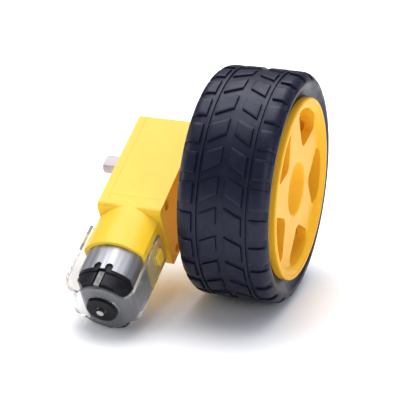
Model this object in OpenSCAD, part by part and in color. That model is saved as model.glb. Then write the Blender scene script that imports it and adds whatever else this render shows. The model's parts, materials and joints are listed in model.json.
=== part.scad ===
// Geared DC motor with a rubber-tyred wheel pushed onto its output shaft.
// The pair stands on its tyre and on the motor's end: +Z is up, the axle lies along Y with the
// wheel towards +Y, and the gearmotor slopes down towards +X. The origin is on the floor under
// the middle of the whole part. Inside the gearbox, "along" is from the axle towards the motor,
// "across" is the 18.8 mm thickness (row Y) and "up" is square to both.

/* [Wheel] */
// Diameter over the tread
wheel_d = 66; // [65:0.5:68]
// Width of the tyre
tyre_w = 26; // [24:0.5:27]
// Distance from the gearbox's middle plane to the tyre's inner side
tyre_start = 15.3; // [15:0.1:18]
// Diameter of the rim's two lips
rim_d = 51.8; // [50:0.2:54]
// Diameter that the tyre's beads sit on
rim_seat_d = 49.2; // [48:0.2:50]
// Number of arms in the rim's star
arms = 5; // [5:1:5]
// Direction of the first arm, seen along the axle
arm_angle = 77.7; // [0:0.1:90]

/* [Gearbox] */
// Length of the box ahead of the output axle
box_front = 11.2; // [11:0.1:12]
// Length of the box behind the output axle
box_rear = 25.2; // [25:0.1:26]
// Height of the box
box_h = 22.5; // [22:0.1:23]
// Thickness of the box
box_t = 18.8; // [18.6:0.1:19]
// Thickness of the cover
cover_t = 2.5; // [2:0.1:3]
// Where the round motor socket ends
socket_end = 37.5; // [36:0.5:39]
// Distance from the output axle to the two mounting holes
mount_hole_x = 20.2; // [20:0.1:20.4]
// Distance between the two mounting holes
mount_hole_gap = 17.5; // [17:0.1:17.6]
// Diameter of the mounting holes
mount_hole_d = 3; // [2.8:0.1:3.2]

/* [Shafts and gears] */
// Diameter of the output shaft
shaft_d = 5.4; // [5.3:0.05:5.5]
// Size across the output shaft's two flats
shaft_flat = 3.7; // [3.5:0.1:3.9]
// Length of the output shaft, tip to tip
shaft_len = 36.8; // [36:0.1:38]
// Gear module
gear_m = 0.5; // [0.5:0.1:0.5]
// Radial play of every bore that turns on a pin or shaft
play = 0.05; // [0.03:0.01:0.08]

/* [Motor] */
// Diameter of the motor can
can_d = 20.1; // [20:0.05:20.2]
// Size across the can's two flats
can_flat = 15.2; // [15:0.1:15.4]
// Front face of the can
can_start = 26.6; // [26.6:0.1:26.6]
// Rear edge of the can
can_end = 45.6; // [45:0.1:46]
// Rear face of the end bell
bell_end = 50.5; // [50.2:0.1:51]
// Diameter of the end bell at its rear edge
bell_d = 19; // [18.6:0.1:19.2]

/* [Hidden] */
$fn = 64;

eps = 0.01;
wheel_r = wheel_d / 2;
tyre_end = tyre_start + tyre_w;
rim_end = tyre_end + 0.5;

// The slope that sets the end bell's lower edge, beside its slot, on the floor when the tyre
// stands on it
slot_w = 2.4;
contact_r = sqrt(pow(bell_d / 2, 2) - pow(slot_w / 2, 2));
slope = asin(wheel_r / norm([bell_end, contact_r])) - atan2(contact_r, bell_end);
strap_t = 0.9;
strap_back = bell_end + 0.05;
strap_cap_r = 8.05;
x_front = -wheel_r;
x_rear = (strap_back + strap_t) * cos(slope) + strap_cap_r * sin(slope);
x_mid = (x_front + x_rear) / 2;
y_mid = (rim_end - shaft_len / 2) / 2;

// Rim
lip_r = rim_d / 2;
seat_r = rim_seat_d / 2;
rim_start = tyre_start + 0.8;
lip_t = 2.4;
barrel_in_r = 23.1;
wall_r = 22;
star_back = rim_end - 4.6;
star_face = rim_end - 1.8;
hub_start = 10.6;
hub_r = 5;
cup_r = 8;
recess_r = 6.3;
recess_floor = rim_end - 6;
socket_depth = 8.6;
valley_r = 11.5;
arm_half_angle = 8.5;
rib_t = 1.6;

// Gearbox
half_h = box_h / 2;
half_t = box_t / 2;
corner_r = 1.5;
wall_t = 1.6;
cavity_top = half_t - 1.7;
cavity_bottom = -half_t + cover_t;
partition_x = 23.6;
tab_reach = 5;
tab_h = 6;
tab_t = 2.5;
peg_d = 4;
peg_h = 1.8;
// The socket's flat on the wheel's side
socket_flat = 8.3;
hook_x = 31.4;
hook_size = [3, 4];
hook_rise = 0.7;
post_r = 2.6;
screw_d = 1.7;
screw_head_d = 3.6;
screw_head_t = 1.2;
screw_seat_t = 1.4;
screw_spots = [[-8.4, 8.4, 7], [-8.4, -8.4, 7], [22.2, 0, 4]];

// Gear train: teeth and levels across the box
pin_x = 11;
pin_d = 2;
crown_teeth = 27;
pinion_teeth = 8;
big_teeth = 33;
small_teeth = 11;
second_small_teeth = 17;
third_big_teeth = 27;
addendum = 0.8 * gear_m;
dedendum = 1.2 * gear_m;
backlash = 0.18;
crown_back = -4.2;
crown_face = -2.7;
crown_tip = -1.6;
crown_in_r = 6.1;
crown_out_r = 7.5;
second_start = 0.7;
second_step = 2.5;
second_end = 4.6;
third_start = 2.9;
third_step = 4.5;
third_end = 7.4;
output_start = 5;
output_end = 7.2;
pinion_start = 16.8;
pinion_end = 19.2;

// Motor
can_r = can_d / 2;
can_wall = 0.5;
motor_shaft_d = 2;
motor_shaft_start = 16.6;
motor_shaft_end = 53.2;
boss_d = 6.1;
boss_start = 25;
core_r = 6.4;
core_start = 30.5;
core_end = 38.5;
magnet_in_r = 6.8;
commutator_r = 2.4;
commutator_start = 41;
commutator_end = 44.6;
bell_in_r = 7.6;
bell_step = 46.6;
bell_bevel = 2.6;
rear_boss_d = 8.6;
rear_boss_end = 52.3;
terminal_w = 1.6;
terminal_top = 9.2;
relief_gap = 3.3;
relief_w = 2;

// Strap
strap_w = 10;
strap_start = 27.8;
// Inner faces of its two sides: it lies close on the wheel's side and stands off on the other
strap_near = socket_flat + 0.05;
strap_far = 10.65;
strap_near_r = 3;
strap_far_r = 4.5;

// ---------- placing ----------

// Puts what is drawn about the axle into the row's frame
module on_axle() translate([-x_mid, -y_mid, wheel_r]) children();

// Puts what is drawn along the gearmotor into the row's frame
module in_gearbox() on_axle() rotate([0, slope, 0]) children();

// Extrudes an outline drawn in (along, up) from one level across the box to another
module across(from, to) translate([0, from, 0]) rotate([-90, 0, 0])
    linear_extrude(to - from) mirror([0, 1]) children();

// Extrudes an outline along the gearmotor: its x is down and its y is across
module along(from, to) translate([from, 0, 0]) rotate([0, 90, 0])
    linear_extrude(to - from) children();

module rod_across(x, z, d, from, to) translate([x, from, z]) rotate([-90, 0, 0])
    cylinder(d = d, h = to - from);

module rod_along(d, from, to) translate([from, 0, 0]) rotate([0, 90, 0])
    cylinder(d = d, h = to - from);

// A round bar along the gearmotor with two flats that face across
module flatted_rod(d, flat, from, to) intersection() {
    rod_along(d, from, to);
    translate([from - 1, -flat / 2, -d]) cube([to - from + 2, flat, 2 * d]);
}

// Turns an outline of (radius, level) about the axle
module about_axle() rotate([-90, 0, 0]) rotate_extrude($fn = 128) children();

// ---------- outlines ----------

function unit(v) = v / norm(v);

// Points of the arc that rounds corner b of the path a, b, c
function corner(a, b, c, r, steps = 6) =
    let (u = unit(a - b), v = unit(c - b), half = acos(u * v) / 2,
         middle = b + unit(u + v) * r / sin(half),
         first = b + u * r / tan(half) - middle, last = b + v * r / tan(half) - middle,
         start = atan2(first.y, first.x), swing = atan2(last.y, last.x) - start,
         turn = swing > 180 ? swing - 360 : swing < -180 ? swing + 360 : swing)
    [for (i = [0:steps]) middle + r * [cos(start + turn * i / steps), sin(start + turn * i / steps)]];

// An outline given as [x, y, corner radius] points, with its corners rounded
function rounded(points) = let (n = len(points)) [
    for (i = [0:n - 1])
        let (a = points[(i + n - 1) % n], b = points[i], c = points[(i + 1) % n])
        each b[2] > 0 ? corner([a.x, a.y], [b.x, b.y], [c.x, c.y], b[2]) : [[b.x, b.y]]
];

module rounded_box(x0, x1, y0, y1, r) {
    translate([x0 + r, y0]) square([x1 - x0 - 2 * r, y1 - y0]);
    translate([x0, y0 + r]) square([x1 - x0, y1 - y0 - 2 * r]);
    for (x = [x0 + r, x1 - r], y = [y0 + r, y1 - r]) translate([x, y]) circle(r);
}

// Half the angle that a tooth covers at radius r
function half_tooth(teeth, r) =
    min(((PI * gear_m / 4 - backlash / 2) - (r - gear_m * teeth / 2) * tan(20)) / r * 180 / PI,
        176 / teeth);

// Spur gear outline with one tooth at angle `phase`
module gear_outline(teeth, phase = 0) {
    pitch_r = gear_m * teeth / 2;
    levels = [pitch_r - dedendum, pitch_r, pitch_r + addendum];
    rising = [for (r = levels) [r, -half_tooth(teeth, r)]];
    falling = [for (i = [2:-1:0]) [levels[i], half_tooth(teeth, levels[i])]];
    polygon([for (i = [0:teeth - 1], p = concat(rising, falling))
        let (a = phase + 360 * i / teeth + p[1]) p[0] * [cos(a), sin(a)]]);
}

// Output shaft outline: a circle with two flats
module double_d(grow = 0) intersection() {
    circle(d = shaft_d + 2 * grow);
    square([2 * shaft_d, shaft_flat + 2 * grow], center = true);
}

// Repeats about the axle, once for each arm, starting from an angle in the (x, z) plane
module each_arm(offset_angle = 0) for (i = [0:arms - 1])
    rotate([0, -(arm_angle + offset_angle + 360 * i / arms), 0]) children();

// ---------- wheel ----------

module tyre() color("#33343c") on_axle() about_axle() {
    shoulder_r = wheel_r - 0.3;
    middle = (tyre_start + tyre_end) / 2;
    difference() {
        polygon(rounded([
            [seat_r, rim_start + lip_t + 0.05, 0],
            [lip_r + 0.05, rim_start + lip_t + 0.05, 0],
            [lip_r + 0.05, tyre_start + 0.5, 0.4],
            [lip_r + 2, tyre_start, 1.5],
            [shoulder_r, tyre_start + 0.3, 2.6],
            [wheel_r, middle - tyre_w * 0.3, 12],
            [wheel_r, middle + tyre_w * 0.3, 12],
            [shoulder_r, tyre_end - 0.3, 2.6],
            [lip_r + 2, tyre_end, 1.5],
            [lip_r + 0.05, tyre_end - 1.6, 0.2],
            [lip_r + 0.05, rim_end - lip_t - 0.05, 0],
            [seat_r, rim_end - lip_t - 0.05, 0]
        ]));
        polygon(rounded([
            [seat_r - 1, tyre_start + 5, 0],
            [seat_r + 4.8, tyre_start + 3.4, 1.5],
            [seat_r + 4.8, tyre_end - 3.4, 1.5],
            [seat_r - 1, tyre_end - 5, 0]
        ]));
    }
}

// The gap between two arms, drawn a little past the rim's wall
module star_gap() {
    spread = 180 / arms - arm_half_angle;
    side = wall_r * [cos(spread), sin(spread)] - [valley_r, 0];
    polygon(rounded([
        [valley_r, 0, 1.8],
        [valley_r + 1.25 * side.x, 1.25 * side.y, 0],
        [valley_r + 1.25 * side.x, -1.25 * side.y, 0]
    ]));
}

module rim() color("#f2b92c") on_axle() difference() {
    union() {
        about_axle() {
            // Barrel with its two lips and the sloping wall inside the outer lip
            polygon([
                [barrel_in_r, rim_start], [lip_r, rim_start], [lip_r, rim_start + lip_t],
                [seat_r, rim_start + lip_t], [seat_r, rim_end - lip_t], [lip_r, rim_end - lip_t],
                [lip_r, rim_end], [lip_r - 1.5, rim_end], [lip_r - 2.7, rim_end - 0.8],
                [wall_r + 0.4, star_face], [wall_r, star_back - 1],
                [barrel_in_r, star_back - 2.5]
            ]);
            // Hub tube and the cup that it opens into
            polygon([
                [0, hub_start], [hub_r, hub_start], [hub_r, recess_floor - 3.6],
                [cup_r, recess_floor - 0.6], [cup_r, star_face], [0, star_face]
            ]);
        }
        // Star plate
        difference() {
            rod_across(0, 0, 2 * wall_r + 3, star_back, star_face);
            each_arm(180 / arms) across(star_back - 1, star_face + 1) star_gap();
        }
        // A rib behind each arm
        each_arm() translate([hub_r - 1, star_back - 8, -rib_t / 2])
            cube([barrel_in_r - hub_r + 1.3, 8 + eps, rib_t]);
    }
    across(hub_start - 1, hub_start + socket_depth) rotate(-slope) double_d(0.02);
    rod_across(0, 0, 2.2, hub_start, recess_floor);
    rod_across(0, 0, 6, hub_start + socket_depth + 2, rim_end);
    rod_across(0, 0, 2 * recess_r, recess_floor, rim_end);
}

// ---------- gearbox ----------

module output_gear() color("#f5f3ea") in_gearbox() difference() {
    union() {
        across(-shaft_len / 2, shaft_len / 2) double_d();
        rod_across(0, 0, shaft_d, -half_t, half_t);
        across(output_start, output_end) gear_outline(big_teeth);
    }
    for (side = [-1, 1]) rotate([0, 0, side < 0 ? 180 : 0])
        rod_across(0, 0, 1.9, shaft_len / 2 - 8, shaft_len / 2 + 1);
}

module can_outline(d, flat) intersection() {
    circle(d = d);
    square([2 * d, flat], center = true);
}

module mounting_holes() for (side = [-1, 1])
    rod_across(mount_hole_x, side * mount_hole_gap / 2, mount_hole_d, -half_t - 1, half_t + 1);

module strap_hook(low, high) translate([hook_x - hook_size.x / 2, low, -hook_size.y / 2])
    cube([hook_size.x, high - low, hook_size.y]);

module gearbox_housing() color("#f4c63a") in_gearbox() difference() {
    union() {
        difference() {
            union() {
                across(cavity_bottom, half_t)
                    rounded_box(-box_front, box_rear, -half_h, half_h, corner_r);
                difference() {
                    along(box_rear - 2, socket_end) can_outline(box_h, box_t);
                    translate([box_rear, socket_flat, -box_h]) cube([20, 5, 2 * box_h]);
                }
            }
            across(cavity_bottom - 1, cavity_top)
                rounded_box(-box_front + wall_t, partition_x, -half_h + wall_t, half_h - wall_t, 1);
            // The cover's place
            translate([-box_front - 1, -half_t - 1, -half_h - 1])
                cube([box_front + box_rear + 1, cover_t + 1, box_h + 2]);
        }
        // Posts for the mounting holes, the pin and the screws
        for (side = [-1, 1])
            rod_across(mount_hole_x, side * mount_hole_gap / 2, 2 * post_r, cavity_bottom,
                       cavity_top + eps);
        for (s = screw_spots) rod_across(s.x, s.y, 4.6, cavity_bottom,
                                         s.y == 0 ? -2.6 : cavity_top + eps);
        // Front tab
        across(-tab_t / 2, tab_t / 2) {
            translate([-box_front - tab_reach + tab_h / 2, -tab_h / 2])
                square([tab_reach - tab_h / 2 + 0.5, tab_h]);
            translate([-box_front - tab_reach + tab_h / 2, 0]) circle(d = tab_h);
        }
        // Hooks that hold the strap
        strap_hook(-strap_far - strap_t - hook_rise, -half_t + 0.5);
        strap_hook(socket_flat - 0.5, strap_near + strap_t + hook_rise);
    }
    mounting_holes();
    rod_across(-box_front - tab_reach + tab_h / 2, 0, mount_hole_d, -tab_t, tab_t);
    // Output shaft, gear pin and motor
    rod_across(0, 0, shaft_d + 2 * play, 0, half_t + 1);
    rod_across(pin_x, 0, pin_d, 0, cavity_top + 1.1);
    along(can_start, socket_end + 1) can_outline(can_d + 0.1, can_flat + 0.1);
    rod_along(boss_d + 0.1, partition_x - 1, can_start + 1);
    for (s = screw_spots) rod_across(s.x, s.y, screw_d, cavity_bottom - 1,
                                     cavity_bottom - 1 + s[2]);
}

module gearbox_cover() color("#f4c63a") in_gearbox() difference() {
    union() {
        across(-half_t, cavity_bottom)
            rounded_box(-box_front, box_rear, -half_h, half_h, corner_r);
        // A seat for the crown gear and a sleeve round the output shaft
        rod_across(pin_x, 0, 4.4, cavity_bottom - eps, crown_back - 0.3);
        rod_across(0, 0, 6.6, cavity_bottom - eps, cavity_bottom + 1);
        // Locating peg
        rod_across(pin_x, 0, peg_d, -half_t - peg_h, -half_t + eps);
    }
    mounting_holes();
    rod_across(0, 0, shaft_d + 2 * play, -half_t - 1, 0);
    rod_across(pin_x, 0, pin_d, -half_t + 1, 0);
    for (s = screw_spots) {
        rod_across(s.x, s.y, screw_d + 0.3, -half_t - 1, 0);
        rod_across(s.x, s.y, screw_head_d + 0.3, -half_t - 1, -half_t + screw_seat_t);
    }
}

module gear_pin() color("silver") in_gearbox()
    rod_across(pin_x, 0, pin_d, -half_t + 1, cavity_top + 1.1);

// Pan-head screws with a cross recess, sunk in the cover
module housing_screws() color("#8b8f94") in_gearbox() for (s = screw_spots)
    translate([s.x, -half_t, s.y]) difference() {
        union() {
            rod_across(0, 0, screw_head_d, screw_seat_t - screw_head_t, screw_seat_t);
            rod_across(0, 0, screw_d, screw_seat_t - eps, cover_t - 1 + s[2]);
        }
        for (turn = [0, 90]) rotate([0, turn, 0])
            translate([-1.1, 0, -0.25]) cube([2.2, 0.8, 0.5]);
    }

module crown_gear() color("#f5f3ea") in_gearbox() difference() {
    union() {
        rod_across(pin_x, 0, 2 * crown_out_r + 0.2, crown_back, crown_face);
        across(crown_face - eps, second_step) translate([pin_x, 0])
            gear_outline(small_teeth, 180 + 180 / small_teeth);
        // Face teeth, with a gap towards the motor
        for (i = [0:crown_teeth - 1]) translate([pin_x, 0, 0])
            rotate([0, (i + 0.5) * 360 / crown_teeth, 0])
            along(crown_in_r, crown_out_r) crown_tooth();
    }
    rod_across(pin_x, 0, pin_d + 2 * play, crown_back - 1, second_step + 1);
}

// Section of one face tooth: x is along the rim of the gear, y is across the box
module crown_tooth() polygon([
    [-0.3, crown_face - eps], [0.3, crown_face - eps], [0.12, crown_tip], [-0.12, crown_tip]
]);

module second_gear() color("#f5f3ea") in_gearbox() difference() {
    union() {
        across(second_start, second_step + eps) gear_outline(big_teeth);
        across(second_step, second_end) gear_outline(second_small_teeth);
    }
    rod_across(0, 0, shaft_d + 2 * play, second_start - 1, second_end + 1);
}

module third_gear() color("#f5f3ea") in_gearbox() difference() {
    translate([pin_x, 0, 0]) {
        across(third_start, third_step + eps)
            gear_outline(third_big_teeth, 180 + 180 / third_big_teeth);
        across(third_step, third_end) gear_outline(small_teeth, 180 + 180 / small_teeth);
    }
    rod_across(pin_x, 0, pin_d + 2 * play, third_start - 1, third_end + 1);
}

// ---------- motor ----------

module pinion() color("#f5f3ea") in_gearbox() difference() {
    along(pinion_start, pinion_end) gear_outline(pinion_teeth, -90);
    rod_along(motor_shaft_d, pinion_start - 1, pinion_end + 1);
}

module motor_shaft() color("silver") in_gearbox()
    rod_along(motor_shaft_d, motor_shaft_start, motor_shaft_end);

// Three-pole stack: a hub, three arms and a curved shoe on each
module rotor_core() color("#7c8087") in_gearbox() difference() {
    along(core_start, core_end) {
        circle(r = 2.4);
        for (i = [0:2]) rotate(120 * i) {
            translate([0, -1.1]) square([core_r - 0.8, 2.2]);
            intersection() {
                difference() {
                    circle(r = core_r);
                    circle(r = core_r - 1);
                }
                polygon([[0, 0], [10, -12], [10, 12]]);
            }
        }
    }
    rod_along(motor_shaft_d, core_start - 1, core_end + 1);
}

// One copper coil round each arm of the core
module windings() color("#b5651d") in_gearbox() for (i = [0:2]) rotate([120 * i, 0, 0])
    difference() {
        translate([core_start - 1.4, -2.5, -4.7])
            cube([core_end - core_start + 2.8, 5, 2.1]);
        translate([core_start, -1.12, -6]) cube([core_end - core_start, 2.24, 4]);
    }

module commutator() color("#c77b3b") in_gearbox() difference() {
    rod_along(2 * commutator_r, commutator_start, commutator_end);
    rod_along(motor_shaft_d, commutator_start - 1, commutator_end + 1);
    for (i = [0:2]) rotate([120 * i + 60, 0, 0])
        translate([commutator_start + 0.6, -0.15, 1.7])
        cube([commutator_end - commutator_start, 0.3, 2]);
}

module washer(from, to) difference() {
    rod_along(3.8, from, to);
    rod_along(motor_shaft_d, from - 1, to + 1);
}

module shaft_washers() color("white") in_gearbox() {
    washer(28.4, 28.9);
    washer(bell_end - 2.5, bell_end - 2);
}

module motor_can() color("#c9ccd2") in_gearbox() difference() {
    union() {
        flatted_rod(can_d, can_flat, can_start, can_end);
        rod_along(boss_d, boss_start, can_start + eps);
    }
    flatted_rod(can_d - 2 * can_wall, can_flat - 2 * can_wall, can_start + can_wall, can_end + 1);
    rod_along(4.4, boss_start - 1, can_start + 1);
    // Two relief notches beside a bent tab, at the top and at the bottom
    for (up = [-1, 1], side = [-1, 1])
        translate([can_end - 1, side * relief_gap / 2, up * can_r]) {
            cylinder(d = relief_w, h = 4, center = true);
            translate([0, -relief_w / 2, -2]) cube([2, relief_w, 4]);
        }
}

// Slot for a terminal, cut into the rim of the end bell and open at the rear
module terminal_slot() translate([can_end + 0.2, -slot_w / 2, 8.6])
    cube([bell_end - can_end, slot_w, 2]);

module end_bell() color("#1c1c20") in_gearbox() difference() {
    union() {
        flatted_rod(can_d - 2 * can_wall - 0.05, can_flat - 2 * can_wall - 0.05, can_end - 2,
                    can_end + eps);
        flatted_rod(can_d - 0.5, can_flat - 0.4, can_end, bell_step);
        intersection() {
            rod_along(bell_d, bell_step - eps, bell_end);
            bell_flats();
        }
        rod_along(rear_boss_d, bell_end - eps, rear_boss_end);
    }
    flatted_rod(2 * bell_in_r, 11.4, can_end - 3, bell_end - 2.2);
    rod_along(4.8, bell_end - 3, rear_boss_end - 0.3);
    rod_along(2.6, rear_boss_end - 1, rear_boss_end + 1);
    for (turn = [0, 180]) rotate([turn, 0, 0]) {
        terminal_slot();
        translate([can_end + 0.35, -1, 6]) cube([0.65, 2, 4]);
    }
}

// The end bell's flats, with the rear edges chamfered to clear the strap's corners
module bell_flats() translate([0, 0, -can_r]) linear_extrude(can_d) let (flat = can_flat / 2 - 0.2)
    polygon([
        [bell_step - 1, -flat], [bell_end - bell_bevel, -flat],
        [bell_end, bell_bevel - flat], [bell_end, flat - bell_bevel],
        [bell_end - bell_bevel, flat], [bell_step - 1, flat]
    ]);

module bushing(d, from, to) difference() {
    rod_along(d, from, to);
    rod_along(motor_shaft_d + 2 * play, from - 1, to + 1);
}

module front_bushing() color("#a9743a") in_gearbox() bushing(4.4, boss_start, 28.2);

module rear_bushing() color("#a9743a") in_gearbox() bushing(4.8, bell_end - 1.9, rear_boss_end - 0.3);

// Two curved magnets, above and below the rotor
module magnets() color("#4a4a4e") in_gearbox() for (turn = [0, 180]) rotate([turn, 0, 0])
    along(core_start - 1, core_end + 2) intersection() {
        difference() {
            circle(r = can_r - can_wall);
            circle(r = magnet_in_r);
        }
        polygon([[0, 0], [-12, -12 * tan(45)], [-12, 12 * tan(45)]]);
    }

module magnet_clip() color("#9a9da3") in_gearbox()
    translate([core_start, 6.75, -4.6]) cube([core_end - core_start, 0.3, 9.2]);

// Terminal tab bent down over the rear, the leg that goes through the end bell and the spring
// arm on the commutator
module brush() {
    arm_level = commutator_r + 0.15;
    translate([can_end + 0.4, -terminal_w / 2, terminal_top - 0.4])
        cube([bell_end - can_end - 0.05, terminal_w, 0.4]);
    translate([bell_end + 0.05, -terminal_w / 2, strap_cap_r + 0.1])
        cube([0.3, terminal_w, terminal_top - strap_cap_r - 0.1]);
    translate([can_end + 0.4, -terminal_w / 2, arm_level]) cube([0.4, terminal_w, 6.4]);
    translate([commutator_start + 1, -terminal_w / 2, arm_level])
        cube([can_end - commutator_start - 0.6, terminal_w, 0.3]);
}

module brush_upper() color("#d0a060") in_gearbox() brush();

module brush_lower() color("#d0a060") in_gearbox() rotate([180, 0, 0]) brush();

// ---------- strap ----------

module motor_strap() color("#dfe3e6", 0.5) in_gearbox() difference() {
    intersection() {
        translate([0, 0, -strap_cap_r]) linear_extrude(2 * strap_cap_r) polygon(rounded([
            [strap_start, strap_near, 0], [strap_start, strap_near + strap_t, 0],
            [strap_back + strap_t, strap_near + strap_t, strap_near_r + strap_t],
            [strap_back + strap_t, -strap_far - strap_t, strap_far_r + strap_t],
            [strap_start, -strap_far - strap_t, 0], [strap_start, -strap_far, 0],
            [strap_back, -strap_far, strap_far_r], [strap_back, strap_near, strap_near_r]
        ]));
        // The band widens to a round cap over the end bell
        union() {
            translate([strap_start - 1, -20, -strap_w / 2])
                cube([strap_back - strap_start + 3, 40, strap_w]);
            rod_along(2 * strap_cap_r, can_end, strap_back + 2);
        }
    }
    rod_along(rear_boss_d + 0.4, bell_end - 1, rear_boss_end + 1);
    // Windows for the hooks
    translate([hook_x - hook_size.x / 2 - 0.2, -20, -hook_size.y / 2 - 0.2])
        cube([hook_size.x + 0.4, 40, hook_size.y + 0.4]);
}

tyre();
rim();
output_gear();
gearbox_housing();
gearbox_cover();
gear_pin();
housing_screws();
crown_gear();
second_gear();
third_gear();
pinion();
motor_shaft();
rotor_core();
windings();
commutator();
shaft_washers();
motor_can();
end_bell();
front_bushing();
rear_bushing();
magnets();
magnet_clip();
brush_upper();
brush_lower();
motor_strap();
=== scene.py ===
"""Looks for a yellow gear motor with a rubber-tyred wheel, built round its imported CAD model.

The tyre and rim are drawn in millimetres about the axle, as (x, across, z). The pieces that only
need rounded edges start from the CAD model's own meshes.
"""
import json
import math

import bmesh
import bpy
from mathutils import Matrix, Vector


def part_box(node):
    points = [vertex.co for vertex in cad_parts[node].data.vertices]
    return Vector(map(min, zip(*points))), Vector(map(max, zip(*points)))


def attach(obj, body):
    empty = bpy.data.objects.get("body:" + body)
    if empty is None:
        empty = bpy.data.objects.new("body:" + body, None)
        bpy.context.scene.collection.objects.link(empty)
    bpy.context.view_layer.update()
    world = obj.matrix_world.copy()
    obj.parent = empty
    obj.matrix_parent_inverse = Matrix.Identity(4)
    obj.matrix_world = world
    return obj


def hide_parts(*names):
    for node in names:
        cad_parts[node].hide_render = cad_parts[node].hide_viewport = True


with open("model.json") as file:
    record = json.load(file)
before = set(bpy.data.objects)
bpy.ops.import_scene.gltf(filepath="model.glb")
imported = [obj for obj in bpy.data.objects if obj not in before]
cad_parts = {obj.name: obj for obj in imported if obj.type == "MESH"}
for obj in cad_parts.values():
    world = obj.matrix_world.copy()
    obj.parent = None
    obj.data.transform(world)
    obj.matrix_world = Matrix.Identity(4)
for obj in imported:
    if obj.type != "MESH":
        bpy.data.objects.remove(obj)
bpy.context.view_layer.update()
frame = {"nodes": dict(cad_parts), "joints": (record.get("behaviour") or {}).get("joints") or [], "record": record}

MM = 0.001
scene = bpy.context.scene

# ---------- places, from the frame ----------

shaft_low, shaft_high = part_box("output_gear")
tyre_low, tyre_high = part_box("tyre")
AXLE = (tyre_low + tyre_high) / 2
AXLE.y = (shaft_low.y + shaft_high.y) / 2
ACROSS = Vector((0, 1, 0))
UPRIGHT = Vector((0, 0, 1))
ALONG = next(Vector(j["axis"]).normalized() for j in frame["joints"] if j["name"] == "rotor_spin")
SLOPE = math.atan2(-ALONG.z, ALONG.x)
WHEEL = Matrix.Translation(AXLE) @ Matrix.Scale(MM, 4)


def span(node, direction):
    """Lowest and highest place of a CAD node along a direction, in mm from the axle."""
    places = [(v.co - AXLE).dot(direction) / MM for v in frame["nodes"][node].data.vertices]
    return min(places), max(places)


WHEEL_R = (tyre_high.z - tyre_low.z) / 2 / MM
TYRE_IN, TYRE_OUT = span("tyre", ACROSS)
TYRE_MID = (TYRE_IN + TYRE_OUT) / 2
HALF_TYRE = (TYRE_OUT - TYRE_IN) / 2
HUB_IN, RIM_OUT = span("rim", ACROSS)
RIM_IN = TYRE_IN + 0.8
LIP_R = span("rim", UPRIGHT)[1]
SEAT_R = LIP_R - 1.3

# ---------- mesh helpers ----------


def unit(v):
    return Vector(v).normalized()


def rounded(points, steps=6):
    """An open or closed outline of (x, y, corner radius) points, with its corners rounded."""
    out = []
    count = len(points)
    for i, (x, y, r) in enumerate(points):
        here = Vector((x, y))
        if not r:
            out.append(here)
            continue
        before = Vector(points[i - 1][:2])
        after = Vector(points[(i + 1) % count][:2])
        u, v = unit(before - here), unit(after - here)
        half = u.angle(v) / 2
        centre = here + unit(u + v) * r / math.sin(half)
        first = here + u * r / math.tan(half) - centre
        last = here + v * r / math.tan(half) - centre
        turn = first.angle_signed(last)
        for k in range(steps + 1):
            angle = -turn * k / steps
            c, s = math.cos(angle), math.sin(angle)
            out.append(centre + Vector((c * first.x - s * first.y, s * first.x + c * first.y)))
    return out


def smooth(mesh, angle):
    mesh.polygons.foreach_set("use_smooth", [True] * len(mesh.polygons))
    mesh.set_sharp_from_angle(angle=math.radians(angle))


def piece(name, bm, place, material, body, angle=32, flat_faces=False):
    """Turns a bmesh drawn in mm into a piece that rides on a body."""
    bmesh.ops.remove_doubles(bm, verts=bm.verts, dist=1e-5)
    bmesh.ops.recalc_face_normals(bm, faces=bm.faces)
    mesh = bpy.data.meshes.new(name)
    bm.to_mesh(mesh)
    bm.free()
    mesh.transform(place)
    smooth(mesh, angle)
    mesh.materials.append(material)
    obj = bpy.data.objects.new(name, mesh)
    scene.collection.objects.link(obj)
    if flat_faces:
        keep_flat(obj)
    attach(obj, body)
    return obj


def keep_flat(obj):
    """Points the normals of rounded edges at the flat faces beside them, so those shade flat."""
    modifier = obj.modifiers.new("normals", "WEIGHTED_NORMAL")
    modifier.keep_sharp = True
    rough = obj.data
    obj.data = bpy.data.meshes.new_from_object(obj.evaluated_get(bpy.context.evaluated_depsgraph_get()))
    obj.modifiers.clear()
    bpy.data.meshes.remove(rough)


def lathe(bm, profile, steps):
    """Turns a closed outline of (radius, level) about the axle."""
    rings = []
    for i in range(steps):
        a = 2 * math.pi * i / steps
        rings.append([bm.verts.new((r * math.cos(a), y, r * math.sin(a))) for r, y in profile])
    count = len(profile)
    for i in range(steps):
        a, b = rings[i], rings[(i + 1) % steps]
        for k in range(count):
            m = (k + 1) % count
            bm.faces.new((a[k], a[m], b[m], b[k]))


def sharp_edges(bm, angle):
    """The edges where two faces meet at more than an angle in degrees."""
    return [e for e in bm.edges if len(e.link_faces) == 2 and e.calc_face_angle() > math.radians(angle)]


def round_edges(bm, edges, width, segments):
    bmesh.ops.bevel(bm, geom=edges, offset=width, segments=segments, profile=0.5, affect="EDGES",
                    clamp_overlap=True, loop_slide=True)


def softened(node, width, segments):
    """A copy in mm of a CAD node's mesh, with its flat faces merged and its true edges rounded."""
    source = frame["nodes"][node]
    bm = bmesh.new()
    bm.from_mesh(source.data)
    bmesh.ops.scale(bm, vec=(1 / MM,) * 3, verts=bm.verts)
    bmesh.ops.remove_doubles(bm, verts=bm.verts, dist=0.01)
    bmesh.ops.dissolve_limit(bm, angle_limit=math.radians(1), verts=bm.verts, edges=bm.edges)
    round_edges(bm, sharp_edges(bm, 30), width, segments)
    return bm


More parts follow.
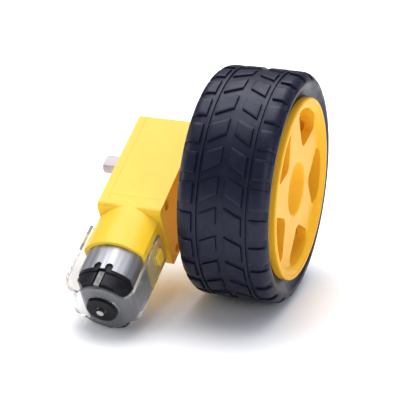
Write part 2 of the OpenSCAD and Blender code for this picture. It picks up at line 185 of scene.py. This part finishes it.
def cut(body, tool):
    """The body with the tool taken away, both bmeshes."""
    made = []
    for name, bm in (("body", body), ("tool", tool)):
        bmesh.ops.recalc_face_normals(bm, faces=bm.faces)
        mesh = bpy.data.meshes.new(name)
        bm.to_mesh(mesh)
        bm.free()
        obj = bpy.data.objects.new(name, mesh)
        scene.collection.objects.link(obj)
        made.append(obj)
    modifier = made[0].modifiers.new("cut", "BOOLEAN")
    modifier.operation = "DIFFERENCE"
    modifier.solver = "EXACT"
    modifier.object = made[1]
    result = bmesh.new()
    result.from_object(made[0], bpy.context.evaluated_depsgraph_get())
    for obj in made:
        mesh = obj.data
        bpy.data.objects.remove(obj)
        bpy.data.meshes.remove(mesh)
    return result


def prism(bm, outline, level_a, level_b):
    """A prism across the wheel, from an (x, z) outline."""
    ends = [[bm.verts.new((p[0], level, p[1])) for p in outline] for level in (level_a, level_b)]
    for k in range(len(outline)):
        m = (k + 1) % len(outline)
        bm.faces.new((ends[0][k], ends[0][m], ends[1][m], ends[1][k]))
    for end in ends:
        bm.faces.new(end)


# ---------- materials ----------


class Finish:
    """A Principled material with helpers that mottle its colour and roughness and add bump."""

    def __init__(self, name, rough, metal=0.0, **sockets):
        self.material = bpy.data.materials.new(name)
        self.material.use_nodes = True
        self.nodes = self.material.node_tree.nodes
        self.links = self.material.node_tree.links
        self.shader = self.nodes["Principled BSDF"]
        self.shader.inputs["Roughness"].default_value = rough
        self.shader.inputs["Metallic"].default_value = metal
        for socket, value in sockets.items():
            self.shader.inputs[socket.replace("_", " ")].default_value = value
        self.place = self.nodes.new("ShaderNodeTexCoord").outputs["Object"]

    def noise(self, size_mm, detail=3.0, stretch=None):
        """Noise of a feature size, drawn out along the gearmotor if stretch is given."""
        vector = self.place
        if stretch:
            mapping = self.nodes.new("ShaderNodeMapping")
            mapping.vector_type = "TEXTURE"
            mapping.inputs["Rotation"].default_value = (0, SLOPE, 0)
            mapping.inputs["Scale"].default_value = stretch
            self.links.new(vector, mapping.inputs["Vector"])
            vector = mapping.outputs["Vector"]
        noise = self.nodes.new("ShaderNodeTexNoise")
        noise.inputs["Scale"].default_value = 1 / (size_mm * MM)
        noise.inputs["Detail"].default_value = detail
        self.links.new(vector, noise.inputs["Vector"])
        return noise.outputs["Fac"]

    def spread(self, value, low, high, start=0.3, end=0.7):
        """Maps noise between start and end onto low to high."""
        node = self.nodes.new("ShaderNodeMapRange")
        for socket, number in (("From Min", start), ("From Max", end), ("To Min", low), ("To Max", high)):
            node.inputs[socket].default_value = number
        self.links.new(value, node.inputs["Value"])
        return node.outputs["Result"]

    def colours(self, value, first, second):
        """Mottles the base colour from first to second by the noise's middle range."""
        ramp = self.nodes.new("ShaderNodeValToRGB")
        for element, position, colour in zip(ramp.color_ramp.elements, (0.35, 0.65), (first, second)):
            element.position = position
            element.color = (*colour, 1)
        self.links.new(value, ramp.inputs["Fac"])
        self.links.new(ramp.outputs["Color"], self.shader.inputs["Base Color"])
        return self

    def roughness(self, value, low, high):
        self.links.new(self.spread(value, low, high), self.shader.inputs["Roughness"])
        return self

    def bump(self, value, depth_mm):
        """Adds a bump on top of those already there."""
        node = self.nodes.new("ShaderNodeBump")
        node.inputs["Strength"].default_value = 1.0
        node.inputs["Distance"].default_value = depth_mm * MM
        self.links.new(value, node.inputs["Height"])
        last = self.shader.inputs["Normal"]
        if last.is_linked:
            self.links.new(last.links[0].from_socket, node.inputs["Normal"])
        self.links.new(node.outputs["Normal"], last)
        return self


def rubber():
    f = Finish("tyre_rubber", 0.45, Specular_IOR_Level=0.32)
    f.shader.inputs["Specular Tint"].default_value = (0.74, 0.76, 1.0, 1)
    f.colours(f.noise(2.2, 4), (0.006, 0.007, 0.017), (0.009, 0.0105, 0.023))
    f.roughness(f.noise(3.5, 4), 0.34, 0.48)
    return f.bump(f.noise(0.35, 4), 0.02).bump(f.noise(2.6, 2), 0.04).material


def yellow_plastic(name, first, second, rough, glow, gloss):
    f = Finish(name, rough, Subsurface_Weight=glow, Subsurface_Scale=0.002, Coat_Weight=0.15 * gloss,
               Coat_Roughness=0.2, Specular_IOR_Level=0.5 * gloss)
    f.shader.inputs["Subsurface Radius"].default_value = (1.0, 0.45, 0.1)
    f.colours(f.noise(9, 3), first, second)
    f.roughness(f.noise(4, 4), rough - 0.05, rough + 0.07)
    return f.bump(f.noise(0.7, 3), 0.006).bump(f.noise(7, 2), 0.05).material


def acetal():
    f = Finish("white_acetal", 0.35, Subsurface_Weight=0.25, Subsurface_Scale=0.002)
    f.colours(f.noise(4), (0.49, 0.465, 0.53), (0.56, 0.53, 0.59))
    return f.bump(f.noise(0.6), 0.015).material


def metal(name, first, second, rough, stretch=None):
    f = Finish(name, rough, 1.0)
    f.colours(f.noise(1.5, 4, stretch), first, second)
    f.roughness(f.noise(1, 4, stretch), rough - 0.05, rough + 0.1)
    return f.bump(f.noise(0.5, 3, stretch), 0.004).material


def black_plastic():
    f = Finish("black_plastic", 0.36, Specular_IOR_Level=0.14)
    f.colours(f.noise(3), (0.006, 0.006, 0.008), (0.012, 0.012, 0.015))
    f.roughness(f.noise(2.5, 4), 0.28, 0.42)
    return f.bump(f.noise(0.5), 0.01).material


def clear_plastic():
    f = Finish("clear_plastic", 0.05, Transmission_Weight=0.91, IOR=1.3)
    f.colours(f.noise(8), (0.86, 0.87, 0.89), (0.92, 0.92, 0.93))
    f.roughness(f.noise(3, 4), 0.02, 0.1)
    return f.bump(f.noise(5, 2), 0.03).material


def matt(name, first, second, rough):
    f = Finish(name, rough)
    f.colours(f.noise(1.5, 4), first, second)
    f.roughness(f.noise(3), rough - 0.08, rough + 0.08)
    return f.bump(f.noise(0.5), 0.03).material


CASE_LIGHT, CASE_DEEP = (0.95, 0.62, 0.04), (0.93, 0.59, 0.032)
RIM_LIGHT, RIM_DEEP = (0.9, 0.49, 0.03), (0.88, 0.46, 0.024)
BRUSHED = (14, 1, 1)
FINISHES = {
    "tyre": rubber(),
    "rim_plastic": yellow_plastic("rim_plastic", RIM_LIGHT, RIM_DEEP, 0.36, 0.15, 0.15),
    "case_plastic": yellow_plastic("case_plastic", CASE_LIGHT, CASE_DEEP, 0.36, 0.2, 0.65),
    "gear_plastic": acetal(),
    "steel": metal("ground_steel", (0.62, 0.63, 0.65), (0.72, 0.73, 0.75), 0.18, BRUSHED),
    "screw_steel": metal("plated_screw", (0.42, 0.42, 0.44), (0.55, 0.55, 0.57), 0.28),
    "core_steel": metal("lamination", (0.3, 0.31, 0.33), (0.42, 0.43, 0.45), 0.4, (1, 8, 8)),
    "copper": metal("enamelled_copper", (0.55, 0.2, 0.07), (0.75, 0.33, 0.13), 0.25, (1, 6, 6)),
    "commutator_copper": metal("turned_copper", (0.7, 0.36, 0.17), (0.8, 0.45, 0.24), 0.25),
    "washer_plastic": matt("washer_plastic", (0.8, 0.8, 0.77), (0.88, 0.88, 0.86), 0.5),
    "can_steel": metal("nickel_plate", (0.27, 0.275, 0.3), (0.43, 0.43, 0.46), 0.48, BRUSHED),
    "black_plastic": black_plastic(),
    "bronze": metal("sintered_bronze", (0.42, 0.26, 0.12), (0.55, 0.36, 0.18), 0.45),
    "ferrite": matt("ferrite", (0.05, 0.05, 0.055), (0.09, 0.09, 0.1), 0.6),
    "spring_steel": metal("spring_steel", (0.5, 0.5, 0.52), (0.62, 0.62, 0.64), 0.3),
    "brush_metal": metal("tinned_brass", (0.09, 0.088, 0.09), (0.16, 0.155, 0.15), 0.42),
    "clear_plastic": clear_plastic(),
}

node_slots = {s["node"]: s["material_slot"] for s in frame["record"]["subparts"]}
for node, slot in node_slots.items():
    data = frame["nodes"][node].data
    data.materials.clear()
    data.materials.append(FINISHES[slot])

# ---------- tyre ----------

# Rows of blocks, and where the first one starts in degrees
ROWS = 25
ROW_PHASE = 5.8

# Depth of the grooves, how far a block's foot sinks below them, and a block's rounded edge
GROOVE = 0.6
SUNK = 0.35
EDGE = 0.22

# The thin rib round the tyre: how far its top lies below the blocks, and the width of its sides
RIB_DROP = 0.1
RIB_SIDE = 0.06

# Distances out from the middle of the tread, over the shoulder
INNER_TILE = (1.1, 5.9)
THIN_RIB = (6.6, 7.2)
OUTER_TILE = (8.0, 14.7)
SHOULDER = (12.2, 14.0)

# The blocks' edges in degrees from the start of their row: the inner blocks slant, and low is
# their end nearer to the tread's middle
OUTER_TURN = (0, 10.0)
INNER_TURN_LOW = (5.9, 14.2)
INNER_TURN_HIGH = (1.0, 10.3)

# Thickness of the rim's lips, and the gap between them and the tyre's beads
LIP = 2.4
LIP_PLAY = 0.05


def tread_path():
    """Half of the tyre's outline, from the middle of the tread over the shoulder: (out, radius)."""
    return rounded([
        (0, WHEEL_R, 0),
        (HALF_TYRE * 0.6, WHEEL_R, 12),
        (HALF_TYRE - 0.3, WHEEL_R - 0.3, 3.2),
        (HALF_TYRE, LIP_R + 2, 0),
    ], 10)[:-1]


TREAD = tread_path()


def on_tread(turn, out, height):
    """A point on the tread: an angle in degrees, a distance out over the shoulder, a height."""
    side = 1 if out >= 0 else -1
    left = abs(out)
    for a, b in zip(TREAD, TREAD[1:]):
        length = (b - a).length
        if left <= length or b is TREAD[-1]:
            break
        left -= length
    direction = unit(b - a)
    place = a + direction * left
    normal = Vector((-direction.y, direction.x))
    place = place + normal * height
    angle = math.radians(turn)
    return Vector((place.y * math.cos(angle), TYRE_MID + side * place.x, place.y * math.sin(angle)))


def inset(quad, distance):
    """Moves each corner of a (turn, out) quad inwards from both of its edges, in mm."""
    mm_per_degree = math.radians(1) * WHEEL_R
    flat = [Vector((t * mm_per_degree, s)) for t, s in quad]
    centre = sum(flat, Vector((0, 0))) / 4
    moved = []
    for i, here in enumerate(flat):
        u, v = unit(flat[i - 1] - here), unit(flat[(i + 1) % 4] - here)
        step = unit(u + v) * distance / math.sin(u.angle(v) / 2)
        if step.dot(centre - here) < 0:
            step = -step
        moved.append(here + step)
    return [(p.x / mm_per_degree, p.y) for p in moved]


def blend_quad(quad, a, b):
    """The point at shares a and b of the way across a (turn, out) quad."""
    low = Vector(quad[0]).lerp(Vector(quad[1]), a)
    high = Vector(quad[3]).lerp(Vector(quad[2]), a)
    return low.lerp(high, b)


def tread_tile(bm, quad, around=6, over=6):
    """A raised block with rounded top edges, sunk a little into the tyre."""
    rings = [(0, -GROOVE - SUNK), (0, -EDGE), (EDGE * 0.3, -EDGE * 0.3)]
    shares = [(i / around, 0) for i in range(around)] + [(1, k / over) for k in range(over)]
    shares += [(1 - i / around, 1) for i in range(around)] + [(0, 1 - k / over) for k in range(over)]
    loops = []
    for distance, height in rings:
        shape = inset(quad, distance) if distance else quad
        loops.append([bm.verts.new(on_tread(*blend_quad(shape, a, b), height)) for a, b in shares])
    top = inset(quad, EDGE)
    grid = [[bm.verts.new(on_tread(*blend_quad(top, i / around, k / over), 0))
             for k in range(over + 1)] for i in range(around + 1)]
    edge = [grid[round(a * around)][round(b * over)] for a, b in shares]
    loops.append(edge)
    for low, high in zip(loops, loops[1:]):
        for k in range(len(low)):
            m = (k + 1) % len(low)
            bm.faces.new((low[k], low[m], high[m], high[k]))
    for i in range(around):
        for k in range(over):
            bm.faces.new((grid[i][k], grid[i + 1][k], grid[i + 1][k + 1], grid[i][k + 1]))
    bm.faces.new(list(reversed(loops[0])))


def ground(out):
    """Height of the rubber between the blocks: grooves with a thin rib.

    Over the shoulder it rises smoothly until it covers the blocks' ends.
    """
    if THIN_RIB[0] <= out <= THIN_RIB[1]:
        return -RIB_DROP
    share = (out - SHOULDER[0]) / (SHOULDER[1] - SHOULDER[0])
    share = min(max(share, 0), 1)
    return -GROOVE + (GROOVE + 0.03) * share * share * (3 - 2 * share)


def crown():
    """Outline between the blocks, from the tread's middle over the shoulder: (out, radius)."""
    low, high = THIN_RIB
    outs = [0, low - RIB_SIDE, low, high, high + RIB_SIDE, 9, 11]
    outs += [SHOULDER[0] + (SHOULDER[1] + 0.4 - SHOULDER[0]) * k / 16 for k in range(17)]
    places = [on_tread(0, out, ground(out)) for out in outs]
    return [Vector((place.y - TYRE_MID, place.x)) for place in places]


def half_section(bead):
    """Half of the tyre's section, from the tread's middle by the bead to the cavity: (out, radius)."""
    side = HALF_TYRE
    top = crown()
    flank = rounded([
        (*top[-1], 0), (side - 0.3, LIP_R + 3.4, 0.4), (side - 0.5, LIP_R + 3.2, 0),
        (side - 1.5, LIP_R + 1.1, 0.4), (side - 1.85, LIP_R + 0.12, 0.15),
        (bead, LIP_R + 0.12, 0), (bead, SEAT_R, 0), (bead - 3, SEAT_R, 0),
        (side - 4.5, LIP_R + 3.4, 0),
    ])
    return top + flank[1:]


def block(start, side, turn_low, turn_high, outs):
    """A tread block's corners as (turn, out), on one side of the tyre's middle."""
    low, high = (out * side for out in outs)
    return [(start + turn_low[0], low), (start + turn_low[1], low),
            (start + turn_high[1], high), (start + turn_high[0], high)]


def tyre():
    bm = bmesh.new()
    outer = half_section(RIM_OUT - LIP - LIP_PLAY - TYRE_MID)
    inner = half_section(TYRE_MID - RIM_IN - LIP - LIP_PLAY)
    profile = [(p.y, TYRE_MID + p.x) for p in outer]
    profile += [(p.y, TYRE_MID - p.x) for p in reversed(inner[1:])]
    lathe(bm, profile, 300)
    for row in range(ROWS):
        start = ROW_PHASE + 360 / ROWS * row
        for side in (-1, 1):
            tread_tile(bm, block(start, side, OUTER_TURN, OUTER_TURN, OUTER_TILE), over=12)
            tread_tile(bm, block(start, side, INNER_TURN_LOW, INNER_TURN_HIGH, INNER_TILE))
    obj = piece("tyre_with_tread", bm, WHEEL, FINISHES["tyre"], "wheel")
    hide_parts("tyre")


# ---------- rim ----------

# The star: its arms, the first one's direction in degrees, and its levels across the wheel
ARMS = 5
ARM_ANGLE = 77.7
FACE = RIM_OUT - 1.8
PLATE_BACK = RIM_OUT - 4.6
DISH_FLOOR = RIM_OUT - 6

# The barrel and the gaps between the arms: each gap is a triangle with its point at VALLEY_R and
# its corners at GAP_R, GAP_HALF_ANGLE degrees to either side, before they are rounded
BARREL_R = 23.1
WALL_R = 22.4
GAP_R = 22.9
VALLEY_R = 11.4
GAP_HALF_ANGLE = 27.9
VALLEY_ROUND = 3
CORNER_ROUND = 2.3

# The hub: its tube, the shaft's bore and its depth, and the well and hole for a screw
HUB_R = 5
BORE_R = 2.74
SOCKET = 8.6
WELL_R = 3
SCREW_R = 1.1

# The ribs behind the arms, and the rounding of the arms' edges
RIB_T = 1.6
ARM_EDGE = 0.7


def rim_outline():
    """The rim's section as (radius, level), with its star plate still whole."""
    well_floor = HUB_IN + SOCKET + 2
    return rounded([
        (BARREL_R, RIM_IN, 0.3), (LIP_R, RIM_IN, 0.3), (LIP_R, RIM_IN + LIP, 0.2),
        (SEAT_R, RIM_IN + LIP, 0.2), (SEAT_R, RIM_OUT - LIP, 0.2),
        (LIP_R, RIM_OUT - LIP, 0.2), (LIP_R, RIM_OUT, 0.5), (LIP_R - 1.2, RIM_OUT, 0.2),
        (LIP_R - 1.3, RIM_OUT - 0.3, 0.12), (LIP_R - 1.9, RIM_OUT - 0.35, 0.4),
        (LIP_R - 2.8, RIM_OUT - 1.0, 0.8), (WALL_R, FACE, 0.5), (7.8, FACE, 1.2),
        (6.0, FACE - 2.8, 2.5), (4.2, DISH_FLOOR, 0.6), (WELL_R, DISH_FLOOR, 0.2),
        (WELL_R, well_floor, 0), (SCREW_R, well_floor, 0), (SCREW_R, HUB_IN + SOCKET, 0),
        (BORE_R, HUB_IN + SOCKET, 0), (BORE_R, HUB_IN, 0.2), (HUB_R, HUB_IN, 0.4),
        (HUB_R, DISH_FLOOR - 3.6, 0.8), (8, DISH_FLOOR - 0.6, 0.3), (8, PLATE_BACK, 0.1),
        (22, PLATE_BACK, 0.4), (22, PLATE_BACK - 1, 0.2), (BARREL_R, PLATE_BACK - 2.5, 0.5),
    ], 5)


def gap_outline(middle):
    """Outline of the gap between two arms, about its middle direction in degrees.

    The far side follows the barrel between the rounded corners.
    """
    def at(radius, angle):
        a = math.radians(middle + angle)
        return radius * math.cos(a), radius * math.sin(a)

    points = [(*at(VALLEY_R, 0), VALLEY_ROUND), (*at(GAP_R, GAP_HALF_ANGLE), CORNER_ROUND)]
    points += [(*at(GAP_R, angle), 0) for angle in range(12, -13, -4)]
    points.append((*at(GAP_R, -GAP_HALF_ANGLE), CORNER_ROUND))
    return rounded(points)


def rib(bm, turn):
    """A rib behind an arm, from the hub tube under the cup out to the barrel."""
    outline = [
        (HUB_R - 0.6, PLATE_BACK - 8), (BARREL_R + 0.6, PLATE_BACK - 8), (BARREL_R + 0.6, PLATE_BACK + 0.1),
        (7, PLATE_BACK + 0.1), (HUB_R - 0.6, DISH_FLOOR - 3),
    ]
    sides = [[bm.verts.new(turn @ Vector((r, level, side * RIB_T / 2))) for r, level in outline]
             for side in (-1, 1)]
    for k in range(len(outline)):
        m = (k + 1) % len(outline)
        bm.faces.new((sides[0][k], sides[0][m], sides[1][m], sides[1][k]))
    for side in sides:
        bm.faces.new(side)


def rim():
    body = bmesh.new()
    lathe(body, rim_outline(), 180)
    gaps = bmesh.new()
    for i in range(ARMS):
        prism(gaps, gap_outline(ARM_ANGLE + 360 / ARMS * (i + 0.5)), PLATE_BACK - 0.7, RIM_OUT + 1)
    bm = cut(body, gaps)
    bmesh.ops.dissolve_limit(bm, angle_limit=math.radians(0.3), verts=bm.verts, edges=bm.edges)
    edges = [e for e in sharp_edges(bm, 35)
             if min(v.co.y for v in e.verts) > FACE - 0.1
             and VALLEY_R - 3 < math.hypot(e.verts[0].co.x, e.verts[0].co.z) < GAP_R + 0.1]
    round_edges(bm, edges, ARM_EDGE, 4)
    for i in range(ARMS):
        rib(bm, Matrix.Rotation(-math.radians(ARM_ANGLE + 360 / ARMS * i), 4, "Y"))
    obj = piece("rim_with_star", bm, WHEEL, FINISHES["rim_plastic"], "wheel", 40, True)
    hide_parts("rim")


# ---------- pieces whose CAD shape only needs rounded edges ----------


def soften(node, width, body, segments=2):
    """Puts a rounded copy of a CAD node's mesh in its place, its slot's finish on it."""
    bm = softened(node, width, segments)
    slot = node_slots[node]
    obj = piece(node + "_moulded", bm, Matrix.Scale(MM, 4), FINISHES[slot], body, 50, True)
    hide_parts(node)


# ---------- studio ----------


def floor_paper_painted_glow():
    """White paper with a painted glow: it glows more away from the object and not at all right by it, so the
    object's shadow there stays darker.
    """
    f = Finish("floor_paper_painted_glow", 0.6)
    f.colours(f.noise(60, 2), (0.93, 0.93, 0.94), (0.95, 0.95, 0.955))
    f.shader.inputs["Emission Color"].default_value = (1, 1, 1, 1)
    distance = f.nodes.new("ShaderNodeVectorMath")
    distance.operation = "LENGTH"
    f.links.new(f.place, distance.inputs[0])
    # Painted glow: emission strength rises from nothing within 25 mm of the middle to 0.6 at 90 mm, so the floor
    # by the object keeps its darker shade
    f.links.new(f.spread(distance.outputs["Value"], 0.0, 0.6, 0.025, 0.09),
                f.shader.inputs["Emission Strength"])
    return f.material


def sky():
    """A soft sky: bright overhead, dim at the horizon."""
    world = bpy.data.worlds.new("studio")
    world.use_nodes = True
    nodes, links = world.node_tree.nodes, world.node_tree.links
    direction = nodes.new("ShaderNodeTexCoord").outputs["Generated"]
    split = nodes.new("ShaderNodeSeparateXYZ")
    links.new(direction, split.inputs["Vector"])
    fade = nodes.new("ShaderNodeMapRange")
    for socket, number in (("From Min", 0.0), ("From Max", 1.0), ("To Min", 0.08), ("To Max", 0.6)):
        fade.inputs[socket].default_value = number
    links.new(split.outputs["Z"], fade.inputs["Value"])
    background = nodes["Background"]
    background.inputs["Color"].default_value = (0.88, 0.93, 1.1, 1)
    links.new(fade.outputs["Result"], background.inputs["Strength"])
    scene.world = world


def studio():
    size = 4.0
    floor_mesh = bpy.data.meshes.new("floor")
    floor_mesh.from_pydata([(-size, -size, 0), (size, -size, 0), (size, size, 0), (-size, size, 0)],
                           [], [(0, 1, 2, 3)])
    floor = bpy.data.objects.new("floor", floor_mesh)
    scene.collection.objects.link(floor)
    floor_mesh.materials.append(floor_paper_painted_glow())
    sky()
    scene.view_settings.view_transform = "Standard"


def area_light(name, place, target, size, power, colour=(1, 1, 1)):
    data = bpy.data.lights.new(name, "AREA")
    data.shape = "RECTANGLE"
    data.size, data.size_y = size
    data.energy = power
    data.color = colour
    obj = bpy.data.objects.new(name, data)
    obj.location = place
    obj.rotation_euler = (Vector(target) - Vector(place)).to_track_quat("-Z", "Y").to_euler()
    scene.collection.objects.link(obj)


def lights():
    area_light("overhead", (-0.18, -0.12, 0.8), (0, 0, 0.03), (0.8, 0.8), 8, (1, 0.985, 0.96))
    area_light("right_fill", (0.5, 0.8, 0.35), (0, 0.02, 0.03), (0.5, 0.5), 2.2)
    area_light("left_fill", (0.1, -0.9, 0.3), (0, 0, 0.03), (0.4, 0.4), 1.2)


def camera():
    data = bpy.data.cameras.new("camera")
    data.lens = 122.46
    data.sensor_width = 36
    data.clip_start = 0.01
    obj = bpy.data.objects.new("camera", data)
    place = Vector((343.47, 125.95, 154.55)) * MM
    target = Vector((0.238, 2.364, 28.700)) * MM
    roll = math.radians(1.026)
    aim = (target - place).to_track_quat("-Z", "Y").to_matrix().to_4x4()
    obj.matrix_world = Matrix.Translation(place) @ aim @ Matrix.Rotation(roll, 4, "Z")
    scene.collection.objects.link(obj)
    scene.camera = obj


camera()
studio()
lights()
tyre()
rim()
soften("gearbox_housing", 0.35, "gearmotor")
soften("gearbox_cover", 0.3, "gearmotor")
soften("motor_can", 0.12, "gearmotor")
soften("end_bell", 0.2, "gearmotor")
soften("motor_strap", 0.25, "gearmotor", 3)
